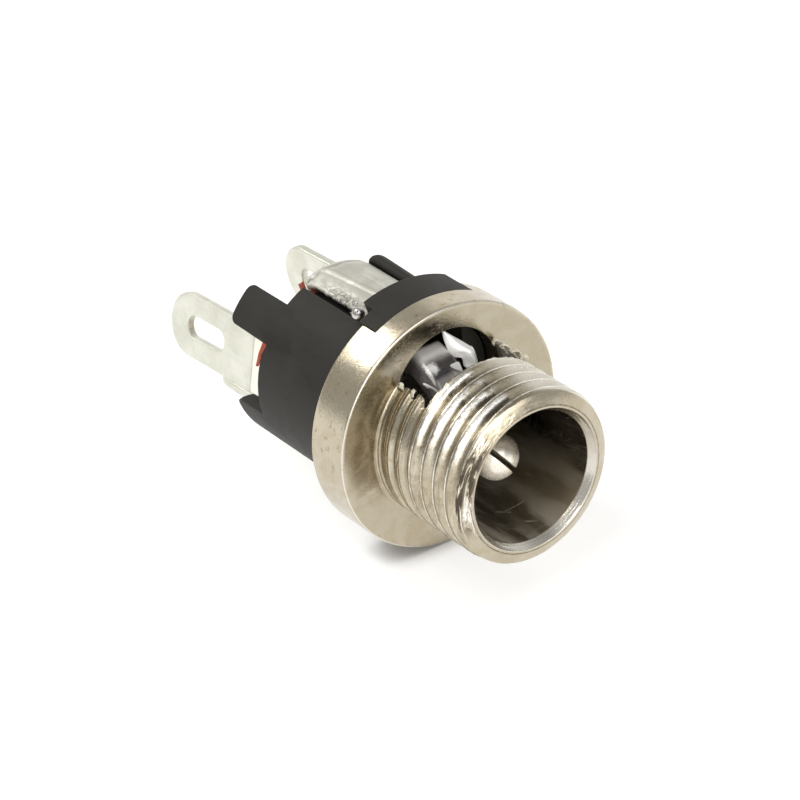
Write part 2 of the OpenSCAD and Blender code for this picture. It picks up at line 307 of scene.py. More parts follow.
def sheet_metal(name, light, warm, dark, rough=(0.28, 0.42), grain=(0.6, 9.0, 9.0), bevel=0.00003, metal=1.0,
                stains=0.3, edge=0.5, burr=False, fold=False):
    """Tinned or nickelled strip: rolled grain along its length, faint
    stains, a painted highlight on the sheared edges and small dents; with fold, a painted highlight and a painted shade
    line at the bend."""
    k = Mat(name)
    g = k.noise(k.scale(k.mm, grain), 1.2, 4.0, 0.6, 0.2)
    patch = k.noise(k.mm, 0.9, 4.0, 0.6, 0.5)
    fine = k.noise(k.mm, 11.0, 3.0, 0.6)
    dent = k.ramp(k.voro(k.mm, 1.7), 0.05, 0.16, 1.0, 0.0)
    c = k.mix(k.ramp(patch, 0.36, 0.66), light, warm)
    c = k.mix(k.math("MULTIPLY", k.ramp(g, 0.56, 0.74), stains), c, dark)
    if edge:
        # painted highlight along the edges
        c = k.mix(k.math("MULTIPLY", k.edge(0.00008), edge), c, (0.93, 0.92, 0.88, 1))
    if fold:
        x, y, z = k.xyz(k.mm)
        yy = k.math("ADD", y, k.math("MULTIPLY", patch, 0.06))
        # painted highlight over the lug's bend, with a painted shade line beside it
        at = k.ramp(x, -2.9, -3.1)
        c = k.mix(k.math("MULTIPLY", at, k.ramp(yy, 9.22, 9.14)), c, (1.0, 0.97, 0.86, 1))
        bend_shade_line = k.math("MULTIPLY", k.ramp(yy, 9.30, 9.24), k.ramp(yy, 9.12, 9.18))
        c = k.mix(k.math("MULTIPLY", k.math("MULTIPLY", at, bend_shade_line), 0.5), c, dark)
    if burr:
        x, y, z = k.xyz(k.mm)
        speck = k.noise(k.scale(k.mm, (1.0, 0.7, 1.0)), 9.5, 3.0, 0.65)
        m = k.math("MULTIPLY", k.ramp(x, -0.80, -1.12), k.ramp(y, 6.9, 5.9))
        c = k.mix(k.math("MULTIPLY", m, k.ramp(speck, 0.44, 0.56, 0.25, 0.85)), c, (0.22, 0.215, 0.19, 1))
        line = k.math("ADD", k.math("ADD", x, 0.22), k.math("MULTIPLY", y, 0.09))
        c = k.mix(k.math("MULTIPLY", k.math("MULTIPLY", k.ramp(line, 0.55, 0.61), k.ramp(line, 0.70, 0.64)), 0.5), c,
                  (0.42, 0.415, 0.37, 1))
    k.set("Base Color", c)
    k.set("Metallic", metal)
    k.set("Roughness", k.math("ADD", k.ramp(patch, 0.3, 0.7, rough[0], rough[1]),
                              k.math("MULTIPLY", k.ramp(fine, 0.5, 0.8), 0.1)))
    n = k.bevel(bevel) if bevel else None
    n = k.bump(g, 0.16, 0.00001, n)
    n = k.bump(fine, 0.16, 0.00001, n)
    n = k.bump(k.math("MULTIPLY", dent, -1.0), 0.12, 0.00001, n)
    k.set("Normal", n)
    return k.m


def plastic(name, base, pale, deep):
    """Black moulded nylon: satin skin with fine grain, a paler bloom, a painted highlight on the
    edges and a few flow marks."""
    k = Mat(name)
    patch = k.noise(k.mm, 0.45, 4.0, 0.6, 0.8)
    fine = k.noise(k.mm, 16.0, 3.0, 0.6)
    grain = k.noise(k.mm, 48.0, 2.0, 0.55)
    flow = k.noise(k.scale(k.mm, (1.0, 0.25, 1.0)), 1.5, 4.0, 0.6, 1.0)
    c = k.mix(k.ramp(patch, 0.36, 0.66), base, pale)
    c = k.mix(k.math("MULTIPLY", k.ramp(flow, 0.55, 0.72), 0.45), c, deep)
    c = k.mix(k.math("MULTIPLY", k.ramp(fine, 0.68, 0.8), 0.2), c, rgb(72, 70, 66))
    # painted highlight along the edges
    c = k.mix(k.math("MULTIPLY", k.edge(0.00008), 0.5), c, rgb(96, 94, 90))
    k.set("Base Color", c)
    k.set("Roughness", k.math("ADD", k.ramp(patch, 0.3, 0.7, 0.48, 0.60),
                              k.math("MULTIPLY", k.ramp(fine, 0.4, 0.7), 0.08)))
    k.set("Specular IOR Level", 0.20)
    n = k.bevel(0.00007, 6)
    n = k.bump(fine, 0.10, 0.00001, n)
    n = k.bump(grain, 0.12, 0.000006, n)
    n = k.bump(flow, 0.12, 0.00002, n)
    k.set("Normal", n)
    return k.m


def fibre(name):
    """Vulcanised fibre: red-brown sheet with short, paler fibres."""
    k = Mat(name)
    fib = k.noise(k.scale(k.mm, (2.0, 14.0, 2.0)), 3.0, 5.0, 0.65, 1.5)
    patch = k.noise(k.mm, 1.3, 3.0, 0.6)
    c = k.mix(k.ramp(patch, 0.35, 0.65), rgb(176, 84, 62), rgb(150, 62, 52))
    c = k.mix(k.math("MULTIPLY", k.ramp(fib, 0.5, 0.7), 0.6), c, rgb(205, 130, 100))
    k.set("Base Color", c)
    k.set("Roughness", k.ramp(fib, 0.3, 0.7, 0.62, 0.85))
    k.set("Normal", k.bump(fib, 0.4, 0.00003, k.bevel(0.00004)))
    return k.m


def bore_metal(name):
    """Plated bore: long soft streaks along the axis, fine scratches left by plugs,
    and painted shade toward +X and deep inside."""
    k = Mat(name)
    x, y, z = k.xyz(k.mm)
    a = k.math("ARCTAN2", x, z)
    lng = k.noise(k.vec(k.math("MULTIPLY", a, 3.2), k.math("MULTIPLY", y, 0.22), 0.0), 1.0, 3.0, 0.5)
    w = k.math("MULTIPLY", a, 3.0)
    lines = []
    for t, off, cut in ((0.9, 3.0, 0.66), (1.35, 9.0, 0.67), (0.25, 17.0, 0.68)):
        u = k.math("ADD", k.math("MULTIPLY", w, math.cos(t)), k.math("MULTIPLY", y, math.sin(t)))
        v = k.math("SUBTRACT", k.math("MULTIPLY", y, math.cos(t)), k.math("MULTIPLY", w, math.sin(t)))
        nz = k.noise(k.vec(k.math("MULTIPLY", u, 0.36), k.math("MULTIPLY", v, 9.0), off), 1.0, 2.0, 0.5, 0.12)
        lines.append(k.ramp(nz, cut, cut + 0.03))
    line = k.math("MAXIMUM", k.math("MAXIMUM", lines[0], lines[1]), lines[2])
    c = k.mix(k.ramp(lng, 0.38, 0.60), (0.56, 0.49, 0.39, 1), (0.90, 0.84, 0.74, 1))
    c = k.mix(line, c, (0.95, 0.92, 0.84, 1))
    # painted shade toward +X
    c = k.mix(k.ramp(x, 0.6, 2.2, 0.0, 0.6), c, (0.30, 0.26, 0.20, 1))
    # painted shade deep in the bore, heaviest on the upper wall
    deep = k.math("MULTIPLY", k.ramp(y, -4.7, -2.4, 0.0, 0.85), k.ramp(z, -1.6, 0.4, 0.15, 1.0))
    c = k.mix(deep, c, (0.10, 0.085, 0.06, 1))
    k.set("Base Color", c)
    k.set("Metallic", 1.0)
    soft = k.math("MULTIPLY", k.ramp(z, 0.2, -2.0, 0.45, 1.0), k.ramp(lng, 0.3, 0.7, 0.34, 0.52))
    k.set("Roughness", k.math("ADD", soft, k.math("MULTIPLY", line, 0.25)))
    k.set("Normal", k.bump(line, 0.35, 0.00001, k.bump(lng, 0.15, 0.00002)))
    return k.m


BORE_NI = bore_metal("bushing_bore_plate")
NICKEL = nickel("bushing_nickel_plate", (0.55, 0.495, 0.385, 1), (0.50, 0.435, 0.32, 1), (0.24, 0.19, 0.125, 1),
                rough=(0.13, 0.25),
                thread=True)
PIN_NI = nickel("pin_nickel_plate", (1.0, 0.96, 0.87, 1), (0.96, 0.90, 0.78, 1), (0.50, 0.43, 0.33, 1),
                rough=(0.20, 0.28), rings=0.6, metal=0.6, shade=0.75)
SPRING = sheet_metal("spring_nickel_strip", (0.75, 0.745, 0.675, 1), (0.66, 0.655, 0.585, 1), (0.44, 0.43, 0.38, 1),
                     rough=(0.50, 0.62), burr=True)
CHROME = sheet_metal("spring_bright_strip", (0.62, 0.60, 0.59, 1), (0.55, 0.53, 0.52, 1), (0.30, 0.28, 0.27, 1),
                     rough=(0.10, 0.17), stains=0.2, bevel=0.00002)


def rolled(name):
    """Spring nickel with painted light: a dark painted reflection over most of it, a pale satin band of
    painted highlight toward its root, paler grey toward the front, and a painted highlight spot where the near edge
    turns down."""
    k = Mat(name)
    x, y, z = k.xyz(k.mm)
    yy = k.math("ADD", y, k.math("MULTIPLY", k.noise(k.mm, 1.2, 2.0), 0.12))
    # painted highlight: a pale satin band toward the root
    pale = k.math("MULTIPLY", k.ramp(yy, -0.34, 0.22), k.ramp(yy, 0.85, 0.55))
    pale = k.math("MULTIPLY", pale, k.ramp(x, -1.50, -1.02))
    fine = k.noise(k.scale(k.mm, (1.0, 8.0, 8.0)), 2.0, 3.0, 0.55)
    # painted dark reflection as the base tone
    c = k.mix(k.ramp(fine, 0.35, 0.65), (0.13, 0.122, 0.12, 1), (0.19, 0.176, 0.172, 1))
    c = k.mix(k.math("MULTIPLY", k.ramp(yy, -0.72, -0.95), k.ramp(x, -1.30, -1.10)), c, (0.62, 0.60, 0.58, 1))
    c = k.mix(pale, c, (1.0, 0.98, 0.96, 1))
    # painted highlight: a bright spot where the near edge turns down
    dx, dy = k.math("ADD", x, 1.00), k.math("ADD", y, 0.45)
    far = k.math("SQRT", k.math("ADD", k.math("MULTIPLY", dx, dx), k.math("MULTIPLY", dy, dy)))
    blur = k.math("MULTIPLY", k.math("SUBTRACT", k.noise(k.mm, 4.5, 3.0, 0.6), 0.5), 0.34)
    spot = k.ramp(k.math("ADD", far, blur), 0.36, 0.08)
    c = k.mix(spot, c, (1.0, 0.99, 0.98, 1))
    pale = k.math("MAXIMUM", pale, spot)
    k.set("Base Color", c)
    curl = k.ramp(x, -1.12, -1.30)
    k.set("Metallic", k.math("SUBTRACT", k.math("SUBTRACT", 1.0, k.math("MULTIPLY", pale, 0.70)),
                             k.math("MULTIPLY", curl, 0.45)))
    k.set("Roughness", k.math("ADD", k.math("MULTIPLY", pale, 0.36), k.ramp(fine, 0.3, 0.7, 0.07, 0.12)))
    k.set("Normal", k.bump(fine, 0.08, 0.00001))
    return k.m


SPRING_PAINTED_BANDS = rolled("spring_nickel_painted_bands")
SATIN = sheet_metal("spring_satin_nickel", (0.97, 0.96, 0.94, 1), (0.93, 0.92, 0.90, 1), (0.70, 0.68, 0.66, 1),
                    rough=(0.32, 0.40), stains=0.12, bevel=0.00002, metal=0.45)
BURR = sheet_metal("bushing_torn_plate", (0.90, 0.86, 0.74, 1), (0.78, 0.72, 0.58, 1), (0.40, 0.34, 0.24, 1),
                   rough=(0.38, 0.50), stains=0.3, bevel=0.00002, edge=0.0, metal=0.15)
TIN = sheet_metal("lug_tin_plate", (0.80, 0.80, 0.71, 1), (0.75, 0.75, 0.66, 1), (0.50, 0.49, 0.42, 1),
                  rough=(0.38, 0.52), grain=(0.8, 0.8, 7.0))
TIN_FOLD = sheet_metal("lug_tin_plate_folded", (0.80, 0.80, 0.71, 1), (0.75, 0.75, 0.66, 1), (0.50, 0.49, 0.42, 1),
                  rough=(0.38, 0.52), grain=(0.8, 0.8, 7.0), fold=True)
BLACK = plastic("housing_black_nylon", rgb(48, 46, 42), rgb(54, 52, 49), rgb(36, 34, 31))
FIBRE = fibre("washer_fibre")


# ---------------------------------------------------------------- mesh tools
def raw(name, verts, faces):
    """An object in millimetres, scaled to metres by finish_piece."""
    me = bpy.data.meshes.new(name)
    me.from_pydata([tuple(v) for v in verts], [], faces)
    me.validate()
    ob = bpy.data.objects.new(name, me)
    scene.collection.objects.link(ob)
    return ob


def bm_do(ob, fn):
    bm = bmesh.new()
    bm.from_mesh(ob.data)
    fn(bm)
    bm.to_mesh(ob.data)
    bm.free()


def outward(ob):
    bm_do(ob, lambda bm: bmesh.ops.recalc_face_normals(bm, faces=bm.faces[:]))


def boolean(ob, cutter, op="DIFFERENCE", keep=False):
    m = ob.modifiers.new("b", "BOOLEAN")
    m.operation, m.object, m.solver = op, cutter, "EXACT"
    dg = bpy.context.evaluated_depsgraph_get()
    me = bpy.data.meshes.new_from_object(ob.evaluated_get(dg))
    ob.modifiers.clear()
    old, ob.data = ob.data, me
    bpy.data.meshes.remove(old)
    if not keep:
        cm = cutter.data
        bpy.data.objects.remove(cutter)
        bpy.data.meshes.remove(cm)


def finish_piece(ob, mat, nodes, sharp=32.0, weld=0.0):
    """Metres, smooth faces with hard edges kept, material, and its ties to
    the frame."""
    def go(bm):
        if weld:
            bmesh.ops.remove_doubles(bm, verts=bm.verts[:], dist=weld)
        lim = rad(sharp)
        for f in bm.faces:
            f.smooth = True
            f.material_index = 0
        for e in bm.edges:
            if len(e.link_faces) == 2:
                e.smooth = e.calc_face_angle(0.0) < lim
        bmesh.ops.scale(bm, vec=(0.001,) * 3, verts=bm.verts[:])
    bm_do(ob, go)
    ob.data.materials.clear()
    ob.data.materials.append(mat)
    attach(ob, "root")
    if nodes:
        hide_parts(*nodes)
    return ob


def revolve(name, prof, n=128):
    """A closed profile of (r, y) turned about Y. A point with r = 0 is a
    pole."""
    verts, faces, ring = [], [], []
    for r, y in prof:
        if r < 1e-6:
            ring.append([len(verts)] * n)
            verts.append((0, y, 0))
        else:
            ring.append(list(range(len(verts), len(verts) + n)))
            verts += [(r * math.sin(2 * pi * i / n), y, r * math.cos(2 * pi * i / n)) for i in range(n)]
    m = len(prof)
    for j in range(m):
        a, b = ring[j], ring[(j + 1) % m]
        if a[0] == a[1] and b[0] == b[1]:
            continue
        for i in range(n):
            k = (i + 1) % n
            q = [a[i], a[k], b[k], b[i]]
            f = []
            for v in q:
                if v not in f:
                    f.append(v)
            if len(f) > 2:
                faces.append(f)
    ob = raw(name, verts, faces)
    outward(ob)
    return ob


def prism(name, poly, lo, hi, axis="y"):
    """A polygon raised along an axis. For y its points are (x, z), for x
    (y, z), for z (x, y)."""
    def at(p, h):
        return {"y": (p[0], h, p[1]), "x": (h, p[0], p[1]), "z": (p[0], p[1], h)}[axis]
    n = len(poly)
    verts = [at(p, lo) for p in poly] + [at(p, hi) for p in poly]
    faces = [list(range(n)), list(range(2 * n - 1, n - 1, -1))]
    faces += [[i, i + n, (i + 1) % n + n, (i + 1) % n] for i in range(n)]
    ob = raw(name, verts, faces)
    outward(ob)
    return ob


def turn(ob, deg):
    """Turned about Y so that the top leans toward +X."""
    ob.data.transform(Matrix.Rotation(rad(deg), 4, "Y"))
    return ob


def arc(cx, cy, r, a0, a1, n):
    return [(cx + r * math.cos(rad(a0 + (a1 - a0) * i / n)), cy + r * math.sin(rad(a0 + (a1 - a0) * i / n)))
            for i in range(n + 1)]


def inset(poly, d):
    """A polygon moved inward (counter-clockwise winding) by d."""
    out, n = [], len(poly)
    for i in range(n):
        p, a, b = Vector(poly[i]), Vector(poly[i - 1]), Vector(poly[(i + 1) % n])
        u, v = (p - a).normalized(), (b - p).normalized()
        nu, nv = Vector((-u.y, u.x)), Vector((-v.y, v.x))
        m = nu + nv
        if m.length < 1e-6:
            m = nu
        else:
            m = m / max(0.5, m.length_squared / 2) if m.length_squared < 1 else m * (2 / m.length_squared)
        out.append(tuple(p + m * d))
    return out


def blank(name, outer, holes, t, b=0.06, seg=3, bottom_b=None):
    """A sheet blank in (u, v), thickness 0..t along w, with rounded edges.
    outer is counter-clockwise, holes clockwise."""
    bb = b if bottom_b is None else bottom_b
    rings = []
    for i in range(seg + 1):
        a = pi / 2 * i / seg
        rings.append((bb * (1 - math.sin(a)), bb * (1 - math.cos(a))))
    for i in range(seg + 1):
        a = pi / 2 * i / seg
        rings.append((b * (1 - math.cos(a)), t - b * (1 - math.sin(a))))
    verts, faces = [], []
    loops_lo, loops_hi = [], []
    for poly in [outer] + holes:
        n = len(poly)
        base = len(verts)
        for d, w in rings:
            verts += [(p[0], p[1], w) for p in inset(poly, d)]
        for j in range(len(rings) - 1):
            for i in range(n):
                k = (i + 1) % n
                faces.append([base + j * n + i, base + j * n + k, base + (j + 1) * n + k, base + (j + 1) * n + i])
        loops_lo.append([base + i for i in range(n)])
        loops_hi.append([base + (len(rings) - 1) * n + i for i in range(n)])
    for loops, flip in ((loops_lo, True), (loops_hi, False)):
        flat = [i for lp in loops for i in lp]
        for tri in tessellate_polygon([[Vector((verts[i][0], verts[i][1], 0)) for i in lp] for lp in loops]):
            f = [flat[i] for i in tri]
            faces.append(f[::-1] if flip else f)
    ob = raw(name, verts, faces)
    outward(ob)
    return ob


def slice_u(ob, us, axis=0):
    """Cuts across the blank, so that it can bend."""
    def go(bm):
        no = Vector((0, 0, 0))
        no[axis] = 1
        for u in us:
            bmesh.ops.bisect_plane(bm, geom=bm.verts[:] + bm.edges[:] + bm.faces[:], dist=1e-5,
                                   plane_co=no * u, plane_no=no)
    bm_do(ob, go)


def remap(ob, fn):
    for v in ob.data.vertices:
        v.co = fn(*v.co)
    ob.data.update()


def lug_outline(u0, u1, w, slot_w, slot_len, back=1.3, root=None, n=20):
    """Lug outline (counter-clockwise) with its slot, tip toward +u."""
    r = w / 2
    out = [(u0, -r)] + arc(u1 - r, 0, r, -90, 90, n) + [(u0, r)]
    sa, sb = u1 - back - slot_len + slot_w / 2, u1 - back - slot_w / 2
    hole = arc(sb, 0, slot_w / 2, 90, -90, 12) + arc(sa, 0, slot_w / 2, -90, -270, 12)
    return out, hole


def shell(name, fn, us, vs, t, nrm=None):
    """A sheet of thickness t on the surface fn(u, v), with half-round
    edges. t may be a function of (u, v)."""
    tt = t if callable(t) else (lambda u, v: t)
    nu, nv = len(us), len(vs)
    P = [[Vector(fn(u, v)) for v in vs] for u in us]
    def normal(i, j):
        a = P[min(i + 1, nu - 1)][j] - P[max(i - 1, 0)][j]
        b = P[i][min(j + 1, nv - 1)] - P[i][max(j - 1, 0)]
        return a.cross(b).normalized()
    N = [[normal(i, j) for j in range(nv)] for i in range(nu)]
    verts, faces = [], []
    top = [[0] * nv for _ in us]
    bot = [[0] * nv for _ in us]
    for i in range(nu):
        for j in range(nv):
            h = tt(us[i], vs[j]) / 2
            top[i][j] = len(verts); verts.append(P[i][j] + N[i][j] * h)
            bot[i][j] = len(verts); verts.append(P[i][j] - N[i][j] * h)
    for i in range(nu - 1):
        for j in range(nv - 1):
            faces.append([top[i][j], top[i + 1][j], top[i + 1][j + 1], top[i][j + 1]])
            faces.append([bot[i][j], bot[i][j + 1], bot[i + 1][j + 1], bot[i + 1][j]])
    rim = [(i, 0) for i in range(nu)] + [(nu - 1, j) for j in range(1, nv)] + \
          [(i, nv - 1) for i in range(nu - 2, -1, -1)] + [(0, j) for j in range(nv - 2, 0, -1)]
    loops = []
    K = 4
    for i, j in rim:
        o = Vector((0, 0, 0))
        if i == 0: o += P[0][j] - P[1][j]
        if i == nu - 1: o += P[-1][j] - P[-2][j]
        if j == 0: o += P[i][0] - P[i][1]
        if j == nv - 1: o += P[i][-1] - P[i][-2]
        o.normalize()
        h = tt(us[i], vs[j]) / 2
        lp = [top[i][j]]
        for k in range(1, K):
            a = pi / 2 - pi * k / K
            lp.append(len(verts))
            verts.append(P[i][j] + N[i][j] * (h * math.sin(a)) + o * (h * 0.7 * math.cos(a)))
        lp.append(bot[i][j])
        loops.append(lp)
    m = len(loops)
    for q in range(m):
        a, b = loops[q], loops[(q + 1) % m]
        for k in range(K):
            faces.append([a[k], b[k], b[k + 1], a[k + 1]])
    ob = raw(name, verts, faces)
    outward(ob)
    return ob


def lin(a, b, n):
    return [a + (b - a) * i / n for i in range(n + 1)]


def smooth(t, a, b):
    t = max(0.0, min(1.0, (t - a) / (b - a)))
    return t * t * (3 - 2 * t)


def rough_cut(ob, test, amp, freq, seed=0.0):
    """Ragged vertices where test(co) says a cut edge is."""
    for v in ob.data.vertices:
        w = test(v.co)
        if w > 0:
            p = v.co * freq + Vector((seed, 0, 0))
            v.co += Vector((noise.noise(p), noise.noise(p + Vector((9, 0, 0))),
                            noise.noise(p + Vector((0, 9, 0))))) * amp * w


# ---------------------------------------------------------------- bushing
TH_R, TH_L, LIP_Y, LIP_R, BORE = 4.0, 5.55, -5.85, 3.36, 3.0
PITCH = 0.8
WIN_R, WIN_Z, WIN_L = 2.75, 1.9, 2.15


def thread_r(y, a):
    """Radius of the thread's surface at y and angle a (from +Z toward +X)."""
    ph = (y + 5.55) / PITCH - (a + pi / 3) / (2 * pi)
    f = abs((ph % 1.0) * 2 - 1)           # 1 on a crest, 0 in a root
    deep = 0.36 * (1 - 0.62 * smooth(y, -2.75, -1.9)) * (1 - 0.55 * smooth(y, -0.9, -0.1))
    lo = 0.14
    hi = 0.86 - 0.26 * smooth(y, -2.75, -1.9)
    g = max(0.0, min(1.0, (f - lo) / (hi - lo)))
    g = g * 0.8 + 0.2 * g * g * (3 - 2 * g)
    p = Vector((math.sin(a) * 4 * 2.3, y * 3.1, math.cos(a) * 4 * 2.3))
    tear = noise.noise(p) * 0.5 + noise.noise(p * 2.7) * 0.5
    r = TH_R - deep * (1 - g)
    r -= 0.018 * g * max(0.0, tear) + 0.008 * abs(noise.noise(p * 5.1)) * g
    # groove turned at the flange
    r -= 0.10 * math.exp(-((y + 0.10) / 0.06) ** 2)
    return r


def build_bushing():
    n = 300
    rows = []   # each row: function of angle giving (r, y)
    fix = lambda r, y: rows.append(lambda a, r=r, y=y: (r, y))
    # rear recess and rear face
    for r in lin(3.0, 3.7, 3): fix(r, 1.3)
    for y in lin(1.3, 2.2, 4)[1:]: fix(3.7, y)
    for r in lin(3.7, 5.6, 8)[1:]: fix(r, 2.2)
    for p in arc(5.6, 2.1, 0.1, 90, 0, 5)[1:]: fix(*p)
    for y in lin(2.1, 0.16, 10)[1:]: fix(5.7, y)
    for p in arc(5.62, 0.08, 0.08, 0, -45, 3)[1:]: fix(*p)
    fix(5.63, 0.008)
    for r in lin(5.60, 4.06, 22): fix(r, 0.0)
    # thread, with its first turns fading into the end chamfer
    ys = lin(-0.02, -5.53, 178)
    for y in ys:
        def row(a, y=y):
            r = thread_r(y, a)
            return r, y
        rows.append(row)
    slope = (TH_R - LIP_R) / (-TH_L - LIP_Y)
    for i, y in enumerate(lin(-5.56, LIP_Y + 0.01, 16)):
        def row(a, y=y):
            s = (-TH_L - y) / (-TH_L - LIP_Y)
            # slightly crowned chamfer
            cone = TH_R - 0.02 - (TH_R - LIP_R) * s + 0.05 * math.sin(pi * s)
            r = min(cone, thread_r(y, a) + 0.5 * smooth(-y, 5.57, 5.64))
            q = Vector((math.sin(a) * 7, y * 9, math.cos(a) * 7))
            left = smooth(-math.sin(a) + 0.35 * math.cos(a), 0.1, 0.8)
            r -= (0.012 + 0.05 * left) * abs(noise.noise(q * 1.9)) * smooth(s, 0.45, 0.6) * (1 - smooth(s, 0.88, 1.0))
            return r, y
        rows.append(row)
    # lip: narrow rounded ring, counter-bored chamfer with turning steps, bore
    for p in arc(LIP_R - 0.04, LIP_Y + 0.04, 0.04, 0, -90, 3): fix(*p)
    for p in arc(3.26, LIP_Y + 0.03, 0.03, -90, -150, 3): fix(*p)
    for i in range(1, 13):
        s = i / 12
        def row(a, s=s):
            q = Vector((math.sin(a) * 5, s * 14, math.cos(a) * 5))
            return (3.235 + (3.0 - 3.235) * s + 0.008 * math.sin(s * 38) + 0.012 * noise.noise(q) * math.sin(pi * s),
                    LIP_Y + 0.03 + 0.30 * s)
        rows.append(row)
    for y in lin(-5.50, 1.25, 46): fix(3.0, y)
    verts, faces = [], []
    m = len(rows)
    for j, row in enumerate(rows):
        for i in range(n):
            a = 2 * pi * i / n
            r, y = row(a)
            verts.append((r * math.sin(a), y, r * math.cos(a)))
    for j in range(m):
        k = (j + 1) % m
        for i in range(n):
            h = (i + 1) % n
            faces.append([j * n + i, j * n + h, k * n + h, k * n + i])
    ob = raw("bushing_body", verts, faces)
    outward(ob)
    # window pocket
    boolean(ob, prism("cut", [(WIN_R * math.cos(2 * pi * i / 96), WIN_Z + WIN_R * math.sin(2 * pi * i / 96))
                              for i in range(96)], -WIN_L, 4.0))
    # key notch
    half = 27
    boolean(ob, prism("cut", [(0, 0)] + [(9 * math.sin(rad(a)), 9 * math.cos(rad(a)))
                                         for a in lin(-half, half, 12)], 1.25, 4.0))

    def edge(co):
        rr = math.hypot(co.x, co.z - WIN_Z)
        out = math.hypot(co.x, co.z)
        if abs(rr - WIN_R) < 0.02 and -2.2 < co.y < -0.01 and out > 3.1:
            return 1.0
        if abs(co.y + WIN_L) < 0.02 and rr < WIN_R + 0.02 and out > 3.05:
            return 0.7
        return 0.0
    rough_cut(ob, edge, 0.09, 5.0)
    finish_piece(ob, NICKEL, ["threaded_bushing"], 38, 0.002)
    ob.data.materials.append(BORE_NI)
    for f in ob.data.polygons:
        c = f.center * 1000
        if math.hypot(c.x, c.z) < 3.02 and c.y > LIP_Y + 0.34:
            f.material_index = 1
    return ob


build_bushing()


def build_burrs():
    """Slivers of thread left standing where the window was milled."""
    verts, faces = [], []
    spots = [(-0.20, 41.0, 0.42, 0.30, 12), (-0.52, 42.0, 0.34, 0.26, -25), (-0.90, 41.0, 0.55, 0.34, 8),
             (-1.30, 42.5, 0.40, 0.26, 30), (-1.66, 41.5, 0.50, 0.30, -12), (-1.98, 43.0, 0.36, 0.22, 20),
             (-0.40, -40.5, 0.24, 0.22, 10), (-1.10, -40.5, 0.28, 0.22, -20)]
    for q, (y, th, bend_shade_line, wd, tw) in enumerate(spots):
        s, c = math.sin(rad(th)), math.cos(rad(th))
        sg = 1 if th > 0 else -1
        up = Vector((s, 0, c))
        tan = Vector((-c * sg, 0, s * sg))
        side = Vector((0, 1, 0))
        tan.rotate(Quaternion(up, rad(tw)))
        side.rotate(Quaternion(up, rad(tw)))
        base = up * 3.96 + Vector((0, y, 0))
        nu, nv = 12, 14
        first = len(verts)
        for i in range(nu):
            u = i / (nu - 1)
            g = noise.noise(Vector((q * 3.1, u * 5, 0)))
            w_ = 1.25 * wd * math.sqrt(max(0.02, 1 - (2 * u - 0.9) ** 2 * 0.8)) * (1 + 0.6 * g)
            t_ = 0.07 * (1 - 0.5 * u)
            cen = base + tan * (bend_shade_line * u) + up * (0.12 * math.sin(pi * u) + 0.10 * g + 0.16 * u)
            for j in range(nv):
                b = 2 * pi * j / nv
                h = 0.05 * noise.noise(Vector((q * 1.7, u * 6, b * 1.2)))
                verts.append(cen + side * (w_ / 2 * math.cos(b)) + up * (t_ * math.sin(b) + h))
        for i in range(nu - 1):
            for j in range(nv):
                k = (j + 1) % nv
                faces.append([first + i * nv + j, first + i * nv + k, first + (i + 1) * nv + k,
                              first + (i + 1) * nv + j])
        faces.append([first + j for j in range(nv)])
        faces.append([first + (nu - 1) * nv + j for j in range(nv)])
    ob = raw("bushing_burrs", verts, faces)
    outward(ob)
    return finish_piece(ob, BURR, [], 50)


build_burrs()


# ---------------------------------------------------------------- housing
H_R, REAR = 4.55, 7.8
FLOOR_Z = 3.719


def ring_cut(walls, r0, r1, base, top, n_arc=160):
    """Removes the outer ring above base except at the walls. Each wall is
    (middle, half width, height, corner radius), in degrees and mm."""
    pts = []
    R = H_R
    for mid, half, h, c in sorted(walls):
        a0, a1 = mid - half, mid + half
        dc = math.degrees(c / R)
        draft = 0.25
        pts.append((a0 - draft, base))
        pts.append((a0, h - c))
        for k in range(1, 7):
            b = pi / 2 * k / 6
            pts.append((a0 + dc * (1 - math.cos(b)), h - c + c * math.sin(b)))
        for k in range(0, 6):
            b = pi / 2 * k / 6
            pts.append((a1 - dc * (1 - math.sin(b)), h - c + c * math.cos(b)))
        pts.append((a1, h - c))
        pts.append((a1 + draft, base))
    full = []
    m = len(pts)
    for i in range(m):
        a, b = pts[i], pts[(i + 1) % m]
        full.append(a)
        da = (b[0] - a[0]) % 360
        if da > 3:
            k = int(da / 2)
            full += [(a[0] + da * q / k, a[1] + (b[1] - a[1]) * q / k) for q in range(1, k)]
    verts, faces = [], []
    for a, y in full:
        s, c = math.sin(rad(a)), math.cos(rad(a))
        verts += [(r0 * s, y, r0 * c), (r1 * s, y, r1 * c), (r1 * s, top, r1 * c), (r0 * s, top, r0 * c)]
    m = len(full)
    for i in range(m):
        j = (i + 1) % m
        for k in range(4):
            l = (k + 1) % 4
            faces.append([i * 4 + k, j * 4 + k, j * 4 + l, i * 4 + l])
    ob = raw("cut", verts, faces)
    outward(ob)
    return ob


def rot2(pts, deg):
    """Section points (x, z) turned so that the top leans toward +X."""
    c, s = math.cos(rad(deg)), math.sin(rad(deg))
    return [(x * c + z * s, -x * s + z * c) for x, z in pts]


def rect(x0, x1, z0, z1):
    return [(x0, z0), (x1, z0), (x1, z1), (x0, z1)]


